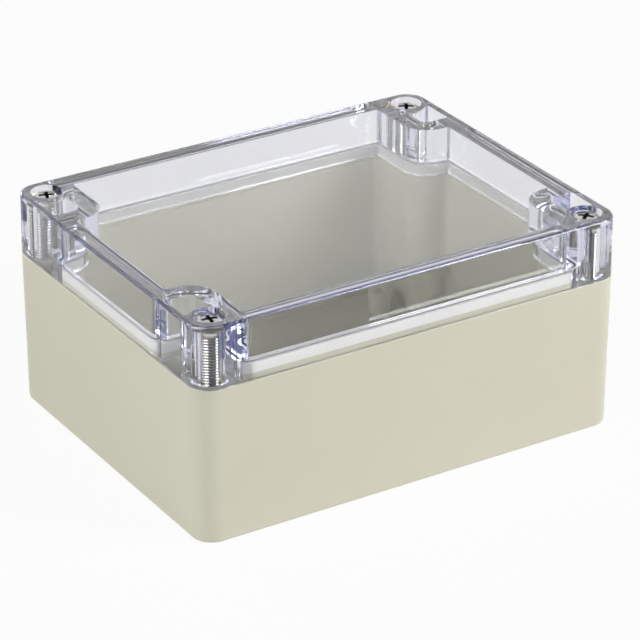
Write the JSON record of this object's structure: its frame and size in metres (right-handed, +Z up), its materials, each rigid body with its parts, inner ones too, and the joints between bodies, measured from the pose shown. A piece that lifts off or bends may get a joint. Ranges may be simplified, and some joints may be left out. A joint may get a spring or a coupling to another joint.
{
  "type": "enclosure with clear lid",
  "caption": "Sealed plastic box: grey moulded base, clear lid held down by corner screws over a white seal, wells outside the seal for wall mounting and board supports inside.",
  "frame": {"origin": "middle of the base's flat underside", "axes": "+X along the length, +Y along the width towards the back, +Z up through the lid"},
  "size_m": [0.115, 0.09, 0.055],
  "materials": {
    "grey_plastic": "satin moulded",
    "clear_plastic": "clear moulded",
    "white_rubber": "matte",
    "bright_steel": "bright",
    "brass": "turned"
  },
  "bodies": {
    "base": {"base": "grey_plastic", "thread_insert_front_left": "brass", "thread_insert_front_right": "brass", "thread_insert_back_left": "brass", "thread_insert_back_right": "brass"},
    "lid": {"lid": "clear_plastic", "gasket": "white_rubber"},
    "screw_front_left": {"lid_screw_front_left": "bright_steel"},
    "screw_front_right": {"lid_screw_front_right": "bright_steel"},
    "screw_back_left": {"lid_screw_back_left": "bright_steel"},
    "screw_back_right": {"lid_screw_back_right": "bright_steel"}
  },
  "joints": [
    {"name": "lid_lift", "type": "slide", "parent": "base", "child": "lid", "axis": [0, 0, 1], "range_m": [0, 0.06]},
    {"name": "screw_front_left_out", "type": "slide", "parent": "lid", "child": "screw_front_left", "axis": [0, 0, 1], "range_m": [0, 0.026]},
    {"name": "screw_front_right_out", "type": "slide", "parent": "lid", "child": "screw_front_right", "axis": [0, 0, 1], "range_m": [0, 0.026]},
    {"name": "screw_back_left_out", "type": "slide", "parent": "lid", "child": "screw_back_left", "axis": [0, 0, 1], "range_m": [0, 0.026]},
    {"name": "screw_back_right_out", "type": "slide", "parent": "lid", "child": "screw_back_right", "axis": [0, 0, 1], "range_m": [0, 0.026]}
  ]
}
